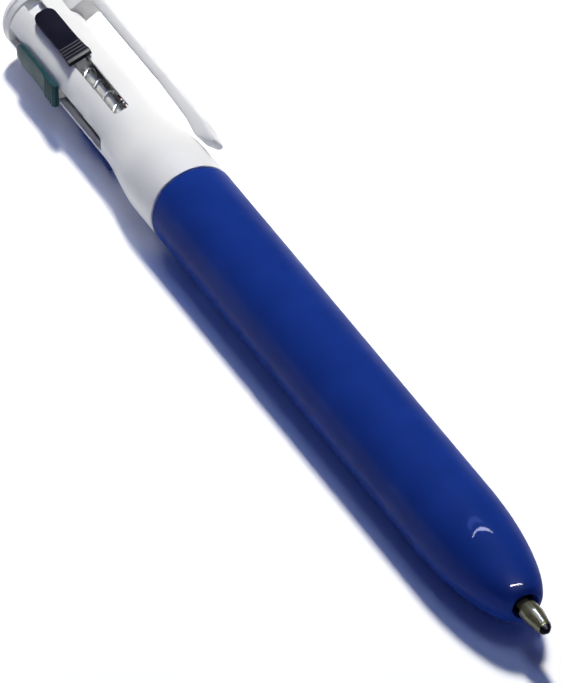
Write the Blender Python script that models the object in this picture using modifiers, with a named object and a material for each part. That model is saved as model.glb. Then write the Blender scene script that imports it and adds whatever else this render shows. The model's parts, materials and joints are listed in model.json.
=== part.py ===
"""A four-colour retractable ball pen, lying on a table with its blue refill out.

Every piece is modelled in the pen's own frame: z runs along the pen from the rear end to the tip, with zero at
the rim where the two barrels meet, and x points straight down to the table. The empty pen_axis lays that frame
down, so that the tip points to +X and the lower barrel rests on the plane z = 0. Lengths are in metres.
"""
import math

import bmesh
import bpy
from mathutils import Matrix, Vector

# Casing
BARREL_RADIUS = 0.006
BARREL_SIDES = 20
LOWER_LENGTH = 0.089
LOWER_WALL = 0.0009
NOSE_LENGTH = 0.01825
NOSE_POWER = 1.886
NOSE_STEPS = 12
NOSE_BORE_RADIUS = 0.0017
NOSE_LAND = 0.0015
RIM_CHAMFER = 0.0002
UPPER_LENGTH = 0.044
REAR_WALL = 0.0008
WAIST_LENGTH = 0.006
TAPER_STEPS = 6
SPIGOT_LENGTH = 0.010
SPIGOT_WALL = 0.0011
PLUG_SPIGOT = 0.004
PLUG_FLANGE = 0.0012
PLUG_DOME = 0.0030
DOME_STEPS = 6

# Clearances between pieces
SEAT_GAP = 0.0003
THREAD_GAP = 0.00025
SLIDE_GAP = 0.0003
TAB_GAP = 0.00015
PLATE_GAP = 0.00015
SHOE_GAP = 0.00013
STEM_GAP = 0.00025
SPRING_GAP = 0.0002
REFILL_GAP = 0.00026
TUBE_GAP = 0.00015
TIP_GAP = 0.00042
NOSE_GAP = 0.0003
BALL_GAP = 0.0001
INK_GAP = 0.0002

# Pocket clip
CLIP_WIDTH = 0.0034
CLIP_PAD_GAP = 0.0023
CLIP_THICKNESS = 0.0013
CLIP_ROOT = 0.004
CLIP_END_PLACE = 0.0048
CLIP_CORNER = 0.0009
CLIP_END_SLOPE = 0.0034
CLIP_END_THICKNESS = 0.0008
CLIP_TOUCH_PLACE = 0.0024
CLIP_TOUCH_LENGTH = 0.001
CLIP_EDGE = 0.0003

# Sliders, told apart by colour. Sliders and clip share the turn evenly, from the black one, near the top
PLACES = ("black", "green", "blue", "red", "clip")
COLOURS = PLACES[:-1]
BLACK_ANGLE = math.radians(200)
PRESSED = "blue"
TRAVEL = 0.012
TAB_WIDTH = 0.0034
TAB_LENGTH = 0.0115
TAB_HEIGHT = 0.0009
TAB_TAIL_DROP = 0.0003
TAB_HUMP = 0.0036
TAB_CORNER = 0.0004
TAB_EDGE = 0.0002
FIN_WIDTH = 0.0016
FIN_SETBACK = 0.0015
FIN_END_GAP = 0.0013
SHOE_WIDTH = 0.0034
STEM_PLUG = 0.005
STEM_SIDES = 16

# Guide plate and latch core
PLATE_PLACE = 0.0065
PLATE_THICKNESS = 0.0015
PLATE_LEDGE = 0.0001
CORE_STEP = 0.00025
CORE_COLLAR_LENGTH = 0.0012
CORE_SOCKET = 0.0025
CORE_SIDES = 16

# Return springs
SPRING_WIRE_RADIUS = 0.00015
SPRING_COIL_GAP = 0.00055
SPRING_POINTS = 9

# Refills
TUBE_WALL = 0.00035
TUBE_SIDES = 16
TIP_REACH = 0.0057
TIP_BASE = 0.0047
TIP_CONE = 0.0034
TIP_SHOULDER = 0.0001
TIP_END_RADIUS = 0.00062
TIP_TAIL = 0.003
BALL_RADIUS = 0.0004
BALL_PROUD = 0.00025
BALL_RINGS = 8
BALL_SIDES = 12

# Edges sharper than this are softened or kept sharp in the shading
SHARP_EDGE = math.radians(40)


def nose_radius(distance, radius):
    """The radius of a round nose, a quarter of a superellipse, at a distance behind its front."""
    share = 1 - min(distance / NOSE_LENGTH, 1)
    return NOSE_BORE_RADIUS + (radius - NOSE_BORE_RADIUS) * (1 - share**NOSE_POWER) ** (1 / NOSE_POWER)


def sector_radius(width):
    """The least radius at which pieces of this width, side by side round the axis, keep their gap."""
    return (SLIDE_GAP / 2 + width / 2 * math.cos(SECTOR)) / math.sin(SECTOR)


# Radii, from the barrel inwards
SECTOR = math.pi / len(PLACES)
LOWER_BORE = BARREL_RADIUS - LOWER_WALL
SPIGOT_RADIUS = LOWER_BORE - THREAD_GAP
SPIGOT_BORE = SPIGOT_RADIUS - SPIGOT_WALL
PLATE_RADIUS = SPIGOT_BORE + PLATE_LEDGE
REAR_BORE = PLATE_RADIUS + PLATE_GAP
REAR_RADIUS = REAR_BORE + REAR_WALL
TUBE_ROOM = SPIGOT_BORE - TUBE_GAP - REFILL_GAP / 2 / math.sin(SECTOR)
TUBE_RADIUS = TUBE_ROOM / (1 + 1 / math.sin(SECTOR))
TUBE_BORE_RADIUS = TUBE_RADIUS - TUBE_WALL
STEM_PLACE = (TUBE_RADIUS + REFILL_GAP / 2) / math.sin(SECTOR)
STEM_RADIUS = TUBE_BORE_RADIUS - STEM_GAP
SPRING_RADIUS = STEM_RADIUS + SPRING_GAP + SPRING_WIRE_RADIUS
TIP_RADIUS = NOSE_BORE_RADIUS - TIP_GAP
SLOT_WIDTH = FIN_WIDTH + 2 * SLIDE_GAP
TAB_REACH = REAR_RADIUS + TAB_HEIGHT
TAB_TAIL = TAB_REACH - TAB_TAIL_DROP
TAB_UNDER = math.sqrt(REAR_RADIUS**2 - (SLOT_WIDTH / 2) ** 2) + TAB_GAP
FIN_INNER_RADIUS = sector_radius(FIN_WIDTH)
SHOE_INNER_RADIUS = sector_radius(SHOE_WIDTH)
SHOE_CORNER = REAR_BORE * math.cos(math.pi / BARREL_SIDES) - SHOE_GAP
SHOE_OUTER_RADIUS = math.sqrt(SHOE_CORNER**2 - (SHOE_WIDTH / 2) ** 2)
CORE_RADIUS = STEM_PLACE - SPRING_RADIUS - SPRING_WIRE_RADIUS - SEAT_GAP
CORE_PIN_RADIUS = CORE_RADIUS - CORE_STEP
CORE_COLLAR_RADIUS = FIN_INNER_RADIUS - SEAT_GAP
CLIP_REACH = REAR_RADIUS + CLIP_PAD_GAP + CLIP_THICKNESS

# Places along the pen
RIM_PLACE = -(LOWER_LENGTH - NOSE_LENGTH) / 2
SHOULDER = -SEAT_GAP
PLATE_FRONT = -PLATE_PLACE
PLATE_REAR = PLATE_FRONT - PLATE_THICKNESS
LEDGE = PLATE_FRONT + SEAT_GAP
PLUG_SEAT = -UPPER_LENGTH - SEAT_GAP
PLUG_NOSE = PLUG_SEAT + PLUG_SPIGOT
FIN_REAR = PLUG_NOSE + FIN_END_GAP
TAB_REAR = FIN_REAR - FIN_SETBACK
TAB_FRONT = TAB_REAR + TAB_LENGTH
CARRIAGE_FRONT = TAB_FRONT - SLIDE_GAP
SLOT_FRONT = CARRIAGE_FRONT + TRAVEL + SLIDE_GAP
TAPER_LENGTH = -SLOT_FRONT - WAIST_LENGTH
SPRING_FRONT = PLATE_REAR - SEAT_GAP
SPRING_LEAD = 2 * SPRING_WIRE_RADIUS
SPRING_ROOM = SPRING_FRONT - CARRIAGE_FRONT - TRAVEL - SEAT_GAP - 2 * SPRING_LEAD
SPRING_COILS = int(SPRING_ROOM / (2 * SPRING_WIRE_RADIUS + SPRING_COIL_GAP))
TUBE_REAR = PLATE_FRONT + SEAT_GAP
STEM_FRONT = TUBE_REAR + STEM_PLUG
PIVOT = TUBE_REAR + STEM_PLUG / 2
REFILL_LENGTH = LOWER_LENGTH + TIP_REACH - TRAVEL - TUBE_REAR
TUBE_LENGTH = REFILL_LENGTH - SEAT_GAP - TIP_BASE - TIP_CONE
REFILL_SPREAD = nose_radius(TRAVEL - TIP_REACH - NOSE_LAND, LOWER_BORE) - TIP_END_RADIUS - NOSE_GAP

# The pen lies on a flat side of the lower barrel
AXIS_HEIGHT = BARREL_RADIUS * math.cos(math.pi / BARREL_SIDES)

# Colours, roughness and metallic value of the materials
FINISHES = {
    "barrel_blue": ((0.010, 0.028, 0.205), 0.3, 0.0),
    "casing_white": ((0.86, 0.86, 0.85), 0.35, 0.0),
    "mechanism_natural": ((0.75, 0.75, 0.72), 0.45, 0.0),
    "slider_blue": ((0.012, 0.035, 0.26), 0.35, 0.0),
    "slider_black": ((0.012, 0.012, 0.016), 0.35, 0.0),
    "slider_green": ((0.010, 0.09, 0.055), 0.35, 0.0),
    "slider_red": ((0.42, 0.016, 0.02), 0.35, 0.0),
    "spring_steel": ((0.55, 0.55, 0.56), 0.3, 1.0),
    "refill_plastic": ((0.8, 0.8, 0.78), 0.4, 0.0),
    "tip_metal": ((0.38, 0.36, 0.26), 0.32, 1.0),
    "ball_carbide": ((0.05, 0.05, 0.055), 0.25, 1.0),
    "ink_blue": ((0.005, 0.01, 0.09), 0.2, 0.0),
    "ink_black": ((0.004, 0.004, 0.006), 0.2, 0.0),
    "ink_green": ((0.003, 0.04, 0.02), 0.2, 0.0),
    "ink_red": ((0.2, 0.004, 0.006), 0.2, 0.0),
}


def clear_scene():
    """Remove what the open file holds, and make the collections for parts and cutters."""
    for obj in list(bpy.data.objects):
        bpy.data.objects.remove(obj, do_unlink=True)
    made = []
    for name in ("multi_pen", "cutters"):
        collection = bpy.data.collections.new(name)
        bpy.context.scene.collection.children.link(collection)
        made.append(collection)
    return made


def finish(name):
    """The Principled material of that name."""
    material = bpy.data.materials.get(name)
    if material:
        return material
    colour, roughness, metallic = FINISHES[name]
    material = bpy.data.materials.new(name)
    material.use_nodes = True
    shader = material.node_tree.nodes["Principled BSDF"]
    shader.inputs["Base Color"].default_value = (*colour, 1)
    shader.inputs["Roughness"].default_value = roughness
    shader.inputs["Metallic"].default_value = metallic
    material.diffuse_color = (*colour, 1)
    return material


def add_object(name, data, parent, material=None):
    """Link an object to the parts, or to the cutters when it has no material."""
    obj = bpy.data.objects.new(name, data)
    obj.parent = parent
    if material:
        parts.objects.link(obj)
        data.materials.append(finish(material))
    else:
        cutters.objects.link(obj)
        obj.hide_render = True
        obj.display_type = "WIRE"
    return obj


def add_empty(name, parent, matrix):
    empty = bpy.data.objects.new(name, None)
    parts.objects.link(empty)
    empty.parent = parent
    empty.matrix_local = matrix
    return empty


def smooth(obj):
    """Shade a round piece smooth, with its edges kept sharp."""
    obj.data.shade_smooth()
    obj.data.set_sharp_from_angle(angle=SHARP_EDGE)


def turned(name, profile, sides, parent, material, closed=True):
    """Turn a profile of (radius, z) points, down the outer side and back up the inner side, round z.

    A flat side faces straight along +x. An open profile starts and ends on the axis.
    """
    turn = math.pi / sides
    points = [(r * math.cos(turn), r * math.sin(turn), z) for r, z in profile]
    edges = [(i, i + 1) for i in range(len(points) - 1)]
    if closed:
        edges.append((len(points) - 1, 0))
    mesh = bpy.data.meshes.new(name)
    mesh.from_pydata(points, edges, [])
    obj = add_object(name, mesh, parent, material)
    screw = obj.modifiers.new("turn", "SCREW")
    screw.axis = "Z"
    screw.steps = sides
    screw.render_steps = sides
    screw.use_merge_vertices = True
    screw.merge_threshold = 1e-6
    screw.use_smooth_shade = True
    return obj


def outline_solid(name, outline, width, angle, parent, material):
    """A flat outline of (radius, z) points, given a width across, standing out from the axis at an angle."""
    curve = bpy.data.curves.new(name, "CURVE")
    curve.dimensions = "2D"
    curve.fill_mode = "BOTH"
    curve.extrude = width / 2
    spline = curve.splines.new("POLY")
    spline.points.add(len(outline) - 1)
    for point, (radius, z) in zip(spline.points, outline):
        point.co = (radius, z, 0, 1)
    spline.use_cyclic_u = True
    sketch = add_object(name + "_sketch", curve, parent)
    across = Matrix(((1, 0, 0, 0), (0, 0, -1, 0), (0, 1, 0, 0), (0, 0, 0, 1)))
    sketch.matrix_local = Matrix.Rotation(angle, 4, "Z") @ across
    bpy.context.view_layer.update()
    evaluated = sketch.evaluated_get(bpy.context.evaluated_depsgraph_get())
    mesh = bpy.data.meshes.new_from_object(evaluated)
    mesh.name = name
    mesh.transform(sketch.matrix_local)
    mesh.materials.clear()
    bpy.data.objects.remove(sketch, do_unlink=True)
    body = bmesh.new()
    body.from_mesh(mesh)
    bmesh.ops.remove_doubles(body, verts=body.verts, dist=1e-6)
    bmesh.ops.recalc_face_normals(body, faces=body.faces)
    body.to_mesh(mesh)
    body.free()
    return add_object(name, mesh, parent, material)


def block(name, radii, width, ends, angle, parent):
    """A cutter block between two radii and two z places, standing out from the axis at an angle."""
    size = (radii[1] - radii[0], width, ends[1] - ends[0])
    middle = (sum(radii) / 2, 0, sum(ends) / 2)
    body = bmesh.new()
    place = Matrix.Rotation(angle, 4, "Z") @ Matrix.Translation(middle) @ Matrix.Diagonal((*size, 1))
    bmesh.ops.create_cube(body, size=1, matrix=place)
    mesh = bpy.data.meshes.new(name)
    body.to_mesh(mesh)
    body.free()
    return add_object(name, mesh, parent)


def rod(name, radius, ends, centre, sides, parent):
    """A round cutter along z between two places."""
    body = bmesh.new()
    middle = Matrix.Translation((*centre, sum(ends) / 2))
    bmesh.ops.create_cone(
        body,
        cap_ends=True,
        segments=sides,
        radius1=radius,
        radius2=radius,
        depth=ends[1] - ends[0],
        matrix=middle,
    )
    mesh = bpy.data.meshes.new(name)
    body.to_mesh(mesh)
    body.free()
    return add_object(name, mesh, parent)


def join_or_cut(obj, other, operation):
    boolean = obj.modifiers.new(other.name, "BOOLEAN")
    boolean.operation = operation
    boolean.object = other
    boolean.solver = "EXACT"


def soften(obj, width):
    """Take the sharp edges off a solid."""
    bevel = obj.modifiers.new("edges", "BEVEL")
    bevel.width = width
    bevel.segments = 1
    bevel.limit_method = "ANGLE"
    bevel.angle_limit = SHARP_EDGE


def around(radius, angle):
    return radius * math.cos(angle), radius * math.sin(angle)


def place_angle(piece):
    """The angle from straight down of a slider, by its colour, or of the clip."""
    return BLACK_ANGLE + 2 * SECTOR * PLACES.index(piece)


def advance(colour):
    """How far forward a slider stands at rest."""
    return TRAVEL if colour == PRESSED else 0.0


def nose_curve(front, radius):
    """Points of the round nose from its bore back to the barrel."""
    points = []
    for step in range(NOSE_STEPS + 1):
        turn = math.pi / 2 * step / NOSE_STEPS
        along = NOSE_LENGTH * (1 - max(math.cos(turn), 0) ** (2 / NOSE_POWER))
        points.append((nose_radius(along, radius), front - along))
    return points


def make_lower_barrel(pen):
    outer = nose_curve(LOWER_LENGTH, BARREL_RADIUS)
    outer += [(BARREL_RADIUS, RIM_CHAMFER), (BARREL_RADIUS - RIM_CHAMFER, 0)]
    inner = [(LOWER_BORE, 0)]
    inner += reversed(nose_curve(LOWER_LENGTH - NOSE_LAND, LOWER_BORE))
    turned("lower_barrel", outer + inner, BARREL_SIDES, pen, "barrel_blue")


def make_upper_barrel(pen):
    outer = [
        (SPIGOT_RADIUS - RIM_CHAMFER, SPIGOT_LENGTH),
        (SPIGOT_RADIUS, SPIGOT_LENGTH - RIM_CHAMFER),
        (SPIGOT_RADIUS, SHOULDER),
        (BARREL_RADIUS - RIM_CHAMFER, SHOULDER),
        (BARREL_RADIUS, SHOULDER - RIM_CHAMFER),
        (BARREL_RADIUS, -WAIST_LENGTH),
    ]
    outer += taper_curve()
    outer += [(REAR_RADIUS, -UPPER_LENGTH)]
    inner = [
        (REAR_BORE, -UPPER_LENGTH),
        (REAR_BORE, LEDGE),
        (SPIGOT_BORE, LEDGE),
        (SPIGOT_BORE, SPIGOT_LENGTH),
    ]
    barrel = turned("upper_barrel", outer + inner, BARREL_SIDES, pen, "casing_white")
    radii = (REAR_BORE / 2, BARREL_RADIUS + REAR_RADIUS)
    behind = -UPPER_LENGTH - PLUG_FLANGE
    for colour in COLOURS:
        slot = block("slot_" + colour, radii, SLOT_WIDTH, (behind, SLOT_FRONT), place_angle(colour), pen)
        join_or_cut(barrel, slot, "DIFFERENCE")
    notch_front = -UPPER_LENGTH + CLIP_ROOT + SEAT_GAP
    notch_width = CLIP_WIDTH + 2 * SLIDE_GAP
    notch = block("clip_notch", radii, notch_width, (behind, notch_front), place_angle("clip"), pen)
    join_or_cut(barrel, notch, "DIFFERENCE")


def taper_curve():
    """An S-shaped taper from the full barrel to the slimmer rear."""
    drop = BARREL_RADIUS - REAR_RADIUS
    points = []
    for step in range(1, TAPER_STEPS + 1):
        share = step / TAPER_STEPS
        ease = (1 - math.cos(math.pi * share)) / 2
        points.append((BARREL_RADIUS - drop * ease, -WAIST_LENGTH - TAPER_LENGTH * share))
    return points


def make_end_plug(pen):
    flange = PLUG_SEAT - PLUG_FLANGE
    outer = [(REAR_BORE - SEAT_GAP, PLUG_NOSE), (REAR_BORE - SEAT_GAP, PLUG_SEAT)]
    outer += [(REAR_RADIUS, PLUG_SEAT), (REAR_RADIUS, flange)]
    for step in range(1, DOME_STEPS + 1):
        turn = math.pi / 2 * step / DOME_STEPS
        radius = REAR_RADIUS * math.cos(turn) if step < DOME_STEPS else 0
        outer.append((radius, flange - PLUG_DOME * math.sin(turn)))
    floor = PLUG_NOSE - CORE_SOCKET
    socket = CORE_RADIUS + SEAT_GAP
    start = [(0, floor), (socket, floor), (socket, PLUG_NOSE)]
    turned("end_plug", start + outer, BARREL_SIDES, pen, "casing_white", closed=False)


def make_pocket_clip(pen):
    """The clip: a root in the barrel's notch, a straight arm, and an end that dips to the barrel."""
    root_rear = -UPPER_LENGTH
    root_front = root_rear + CLIP_ROOT
    root_inner = REAR_BORE + SEAT_GAP / 2
    inner = CLIP_REACH - CLIP_THICKNESS
    end = -CLIP_END_PLACE
    touch = BARREL_RADIUS + SEAT_GAP
    outline = [
        (root_inner, root_rear),
        (CLIP_REACH - CLIP_CORNER, root_rear),
        (CLIP_REACH, root_rear + CLIP_CORNER),
        (CLIP_REACH, end - CLIP_END_SLOPE),
        (inner + CLIP_END_THICKNESS, end),
        (inner, end),
        (touch, end - CLIP_TOUCH_PLACE),
        (touch, end - CLIP_TOUCH_PLACE - CLIP_TOUCH_LENGTH),
        (inner, -WAIST_LENGTH - TAPER_LENGTH),
        (inner, root_front + CLIP_CORNER),
        (inner - CLIP_CORNER, root_front),
        (root_inner, root_front),
    ]
    clip = outline_solid("pocket_clip", outline, CLIP_WIDTH, place_angle("clip"), pen, "casing_white")
    soften(clip, CLIP_EDGE)


def make_guide_plate(pen):
    hole = CORE_PIN_RADIUS + SEAT_GAP
    profile = [
        (PLATE_RADIUS, PLATE_FRONT),
        (PLATE_RADIUS, PLATE_REAR),
        (hole, PLATE_REAR),
        (hole, PLATE_FRONT),
    ]
    plate = turned("guide_plate", profile, BARREL_SIDES, pen, "mechanism_natural")
    ends = (PLATE_REAR - PLATE_THICKNESS, PLATE_FRONT + PLATE_THICKNESS)
    for colour in COLOURS:
        centre = around(STEM_PLACE, place_angle(colour))
        drill = rod("stem_hole_" + colour, STEM_RADIUS + SEAT_GAP, ends, centre, STEM_SIDES, pen)
        join_or_cut(plate, drill, "DIFFERENCE")


def make_latch_core(pen):
    """The post that the sliders latch on: its collar stands just behind a slider that is pressed."""
    collar_front = min(FIN_REAR + TRAVEL, CARRIAGE_FRONT) - SEAT_GAP
    collar_rear = collar_front - CORE_COLLAR_LENGTH
    rear = PLUG_NOSE - CORE_SOCKET + SEAT_GAP
    profile = [
        (0, PLATE_FRONT),
        (CORE_PIN_RADIUS, PLATE_FRONT),
        (CORE_PIN_RADIUS, SPRING_FRONT),
        (CORE_RADIUS, SPRING_FRONT),
        (CORE_RADIUS, collar_front),
        (CORE_COLLAR_RADIUS, collar_front),
        (CORE_COLLAR_RADIUS, collar_rear),
        (CORE_RADIUS, collar_rear),
        (CORE_RADIUS, rear),
        (0, rear),
    ]
    turned("latch_core", profile, CORE_SIDES, pen, "mechanism_natural", closed=False)


def make_slider(colour, pen):
    """A thumb tab over the slot, a fin through it, a shoe that keeps it in, and the refill's stem."""
    angle = place_angle(colour)
    shift = advance(colour)
    outline = [
        (TAB_UNDER, TAB_REAR + shift),
        (TAB_TAIL - TAB_CORNER, TAB_REAR + shift),
        (TAB_TAIL, TAB_REAR + TAB_CORNER + shift),
        (TAB_REACH, TAB_FRONT - TAB_HUMP + shift),
        (TAB_REACH, TAB_FRONT - TAB_CORNER + shift),
        (TAB_REACH - TAB_CORNER, TAB_FRONT + shift),
        (TAB_UNDER, TAB_FRONT + shift),
    ]
    slider = outline_solid("slider_" + colour, outline, TAB_WIDTH, angle, pen, "slider_" + colour)
    soften(slider, TAB_EDGE)
    radii = (FIN_INNER_RADIUS, (TAB_UNDER + TAB_TAIL) / 2)
    fin = block("fin_" + colour, radii, FIN_WIDTH, (FIN_REAR + shift, CARRIAGE_FRONT + shift), angle, pen)
    join_or_cut(slider, fin, "UNION")
    radii = (SHOE_INNER_RADIUS, SHOE_OUTER_RADIUS)
    shoe_ends = (FIN_REAR + SLIDE_GAP + shift, CARRIAGE_FRONT - SLIDE_GAP + shift)
    shoe = block("shoe_" + colour, radii, SHOE_WIDTH, shoe_ends, angle, pen)
    join_or_cut(slider, shoe, "UNION")
    centre = around(STEM_PLACE, angle)
    stem_ends = (CARRIAGE_FRONT - TAB_LENGTH / 2 + shift, STEM_FRONT + shift)
    stem = rod("stem_" + colour, STEM_RADIUS, stem_ends, centre, STEM_SIDES, pen)
    join_or_cut(slider, stem, "UNION")


def spring_points(length):
    """One unbroken wire: a straight end, the coils, and a straight end."""
    count = SPRING_COILS * SPRING_POINTS
    rise = (length - 2 * SPRING_LEAD) / count
    points = [Vector((SPRING_RADIUS, 0, 0))]
    for step in range(count + 1):
        turn = math.tau * step / SPRING_POINTS
        points.append(Vector((*around(SPRING_RADIUS, turn), SPRING_LEAD + rise * step)))
    points.append(Vector((SPRING_RADIUS, 0, length)))
    return points


def least_gap(points):
    """The least clear distance between neighbouring coils of the wire."""
    nearest = min(
        (a - b).length
        for i, a in enumerate(points)
        for b in points[i + SPRING_POINTS - 2 :]
    )
    return nearest - 2 * SPRING_WIRE_RADIUS


def make_spring(colour, pen):
    """The return spring on a stem, between the guide plate and the slider."""
    rear = CARRIAGE_FRONT + advance(colour) + SEAT_GAP
    points = spring_points(SPRING_FRONT - rear)
    print("spring", colour, "least gap", round(least_gap(points) * 1000, 3), "mm")
    curve = bpy.data.curves.new("spring_" + colour, "CURVE")
    curve.dimensions = "3D"
    curve.bevel_depth = SPRING_WIRE_RADIUS
    curve.bevel_resolution = 1
    curve.use_fill_caps = True
    spline = curve.splines.new("POLY")
    spline.points.add(len(points) - 1)
    for point, co in zip(spline.points, points):
        point.co = (*co, 1)
    spring = add_object("spring_" + colour, curve, pen, "spring_steel")
    spring.location = (*around(STEM_PLACE, place_angle(colour)), rear)


def refill_pivot(colour, pen):
    """An empty in the plugged end of a refill, whose z runs along the refill and whose x points outwards.

    The refill that is out leans in to the nose bore. The others lean out, clear of it.
    """
    angle = place_angle(colour)
    start = PIVOT + advance(colour)
    if colour == PRESSED:
        lean = -math.atan2(STEM_PLACE, LOWER_LENGTH - NOSE_LAND / 2 - start)
    else:
        lean = math.asin((REFILL_SPREAD - STEM_PLACE) / (REFILL_LENGTH - STEM_PLUG / 2))
    place = Matrix.Translation((*around(STEM_PLACE, angle), start))
    turn = Matrix.Rotation(angle, 4, "Z") @ Matrix.Rotation(lean, 4, "Y")
    return add_empty("refill_pivot_" + colour, pen, place @ turn)


def make_refill(colour, pen):
    """A refill: tube, ink, metal tip and writing ball, along z from its pivot."""
    pivot = refill_pivot(colour, pen)
    rear = -STEM_PLUG / 2
    tube_end = rear + TUBE_LENGTH
    tube = [
        (TUBE_RADIUS, tube_end),
        (TUBE_RADIUS, rear),
        (TUBE_BORE_RADIUS, rear),
        (TUBE_BORE_RADIUS, tube_end),
    ]
    turned("refill_tube_" + colour, tube, TUBE_SIDES, pivot, "refill_plastic")

    ink_radius = TUBE_BORE_RADIUS - INK_GAP
    ink_front = tube_end - TIP_TAIL - SEAT_GAP
    ink_rear = STEM_PLUG / 2 + SEAT_GAP
    ink = [(0, ink_front), (ink_radius, ink_front), (ink_radius, ink_rear), (0, ink_rear)]
    turned("ink_" + colour, ink, TUBE_SIDES, pivot, "ink_" + colour, closed=False)

    base = tube_end + SEAT_GAP
    cone = base + TIP_BASE
    end = cone + TIP_CONE - BALL_PROUD
    ball_centre = end + BALL_PROUD - BALL_RADIUS
    socket_floor = ball_centre - BALL_RADIUS - BALL_GAP
    socket_radius = BALL_RADIUS + BALL_GAP
    tip = [
        (0, socket_floor),
        (socket_radius, socket_floor),
        (socket_radius, end),
        (TIP_END_RADIUS, end),
        (TIP_RADIUS - TIP_SHOULDER, cone),
        (TIP_RADIUS, cone),
        (TIP_RADIUS, base),
        (TUBE_BORE_RADIUS - INK_GAP, base),
        (TUBE_BORE_RADIUS - INK_GAP, tube_end - TIP_TAIL),
        (0, tube_end - TIP_TAIL),
    ]
    turned("refill_tip_" + colour, tip, TUBE_SIDES, pivot, "tip_metal", closed=False)

    body = bmesh.new()
    centre = Matrix.Translation((0, 0, ball_centre))
    bmesh.ops.create_uvsphere(
        body, u_segments=BALL_SIDES, v_segments=BALL_RINGS, radius=BALL_RADIUS, matrix=centre
    )
    mesh = bpy.data.meshes.new("ball_" + colour)
    body.to_mesh(mesh)
    body.free()
    smooth(add_object("ball_" + colour, mesh, pivot, "ball_carbide"))


def make_pen():
    laid_down = Matrix.Translation((RIM_PLACE, 0, AXIS_HEIGHT)) @ Matrix.Rotation(math.pi / 2, 4, "Y")
    pen = add_empty("pen_axis", None, laid_down)
    make_lower_barrel(pen)
    make_upper_barrel(pen)
    make_end_plug(pen)
    make_pocket_clip(pen)
    make_guide_plate(pen)
    make_latch_core(pen)
    for colour in COLOURS:
        make_slider(colour, pen)
        make_spring(colour, pen)
        make_refill(colour, pen)


parts, cutters = clear_scene()
make_pen()
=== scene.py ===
"""The looks of a four-colour ball pen that lies on a table with its blue tip out.

Pieces are modelled on a bench, along X with the tip towards +X, and are then laid into the pen. Their places
are counted from the rim between the two barrels. Lengths are in metres.
"""
import json
import math

import bpy
from mathutils import Matrix, Quaternion, Vector


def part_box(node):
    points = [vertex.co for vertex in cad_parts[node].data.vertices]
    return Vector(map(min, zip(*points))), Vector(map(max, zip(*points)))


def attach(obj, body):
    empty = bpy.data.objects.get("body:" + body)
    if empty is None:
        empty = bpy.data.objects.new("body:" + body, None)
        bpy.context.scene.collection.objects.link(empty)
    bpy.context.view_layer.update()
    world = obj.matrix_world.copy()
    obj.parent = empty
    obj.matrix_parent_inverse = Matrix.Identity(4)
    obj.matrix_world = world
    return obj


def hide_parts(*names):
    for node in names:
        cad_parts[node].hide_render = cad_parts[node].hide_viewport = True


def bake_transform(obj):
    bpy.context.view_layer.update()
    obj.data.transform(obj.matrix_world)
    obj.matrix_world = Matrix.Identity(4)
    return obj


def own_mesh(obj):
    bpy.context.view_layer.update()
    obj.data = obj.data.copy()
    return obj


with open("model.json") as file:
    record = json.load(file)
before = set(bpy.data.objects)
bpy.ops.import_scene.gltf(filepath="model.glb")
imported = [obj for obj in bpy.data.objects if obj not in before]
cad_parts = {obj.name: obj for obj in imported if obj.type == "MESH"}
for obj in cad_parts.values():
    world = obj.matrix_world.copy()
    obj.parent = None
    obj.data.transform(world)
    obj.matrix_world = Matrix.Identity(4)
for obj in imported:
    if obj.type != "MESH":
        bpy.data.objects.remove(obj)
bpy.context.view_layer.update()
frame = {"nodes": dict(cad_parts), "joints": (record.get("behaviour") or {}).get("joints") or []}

COLOURS = ("blue", "black", "green", "red")
PRESSED = "blue"

# Places and radii that the frame gives
barrel_low, barrel_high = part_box("lower_barrel")
RIM = barrel_low.x
AXIS_HEIGHT = (barrel_low.z + barrel_high.z) / 2
BARREL_RADIUS = AXIS_HEIGHT - barrel_low.z
LOWER_LENGTH = barrel_high.x - barrel_low.x

# Fineness of the meshes
LATHE_SIDES = 96
ROUND_STEPS = 5
MERGE_DISTANCE = 2e-6
SHARP_ANGLE = math.radians(30)
SMOOTH_ANGLE = math.radians(35)

# Lower barrel
LOWER_BORE = 0.00505
NOSE_LENGTH = 0.01825
NOSE_POWER = 1.886
NOSE_STEPS = 40
NOSE_BORE = 0.0017
NOSE_LAND = 0.0015
NOSE_LIP = 0.00018
RIM_ROUND = 0.00022

# Screw thread between the barrels
SPIGOT_LENGTH = 0.010
SPIGOT_RADIUS = 0.00462
SPIGOT_BORE = 0.00371
THREAD_PITCH = 0.0011
THREAD_DEPTH = 0.00018
THREAD_RIDGE = 1.5 * THREAD_DEPTH
THREAD_TURNS = 6
THREAD_START = 0.0018
THREAD_STEPS = 48

# Upper barrel and end plug
SHOULDER = -0.0003
WAIST_LENGTH = 0.006
TAPER_LENGTH = 0.011
TAPER_STEPS = 18
UPPER_LENGTH = 0.044
REAR_RADIUS = 0.00475
REAR_BORE = 0.00396
LEDGE = -0.0062
SLOT_WIDTH = 0.0022
SLOT_FRONT = -0.017
SLOT_CORNER = 0.0006
NOTCH_WIDTH = 0.0040
NOTCH_FRONT = -0.0397
PLUG_RADIUS = 0.00365
PLUG_NOSE = -0.0403
PLUG_SEAT = -0.0443
PLUG_FLANGE = 0.0012
PLUG_DOME = 0.0030
PLUG_DOME_STEPS = 16
PLUG_GROOVE = 0.0002
PLUG_SOCKET = 0.0025
PLUG_SOCKET_MIDDLE = 0.00002
CUTTER_REAR = -UPPER_LENGTH - PLUG_FLANGE
CUTTER_LOW = REAR_BORE / 2
CUTTER_HIGH = 1.5 * BARREL_RADIUS

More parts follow.
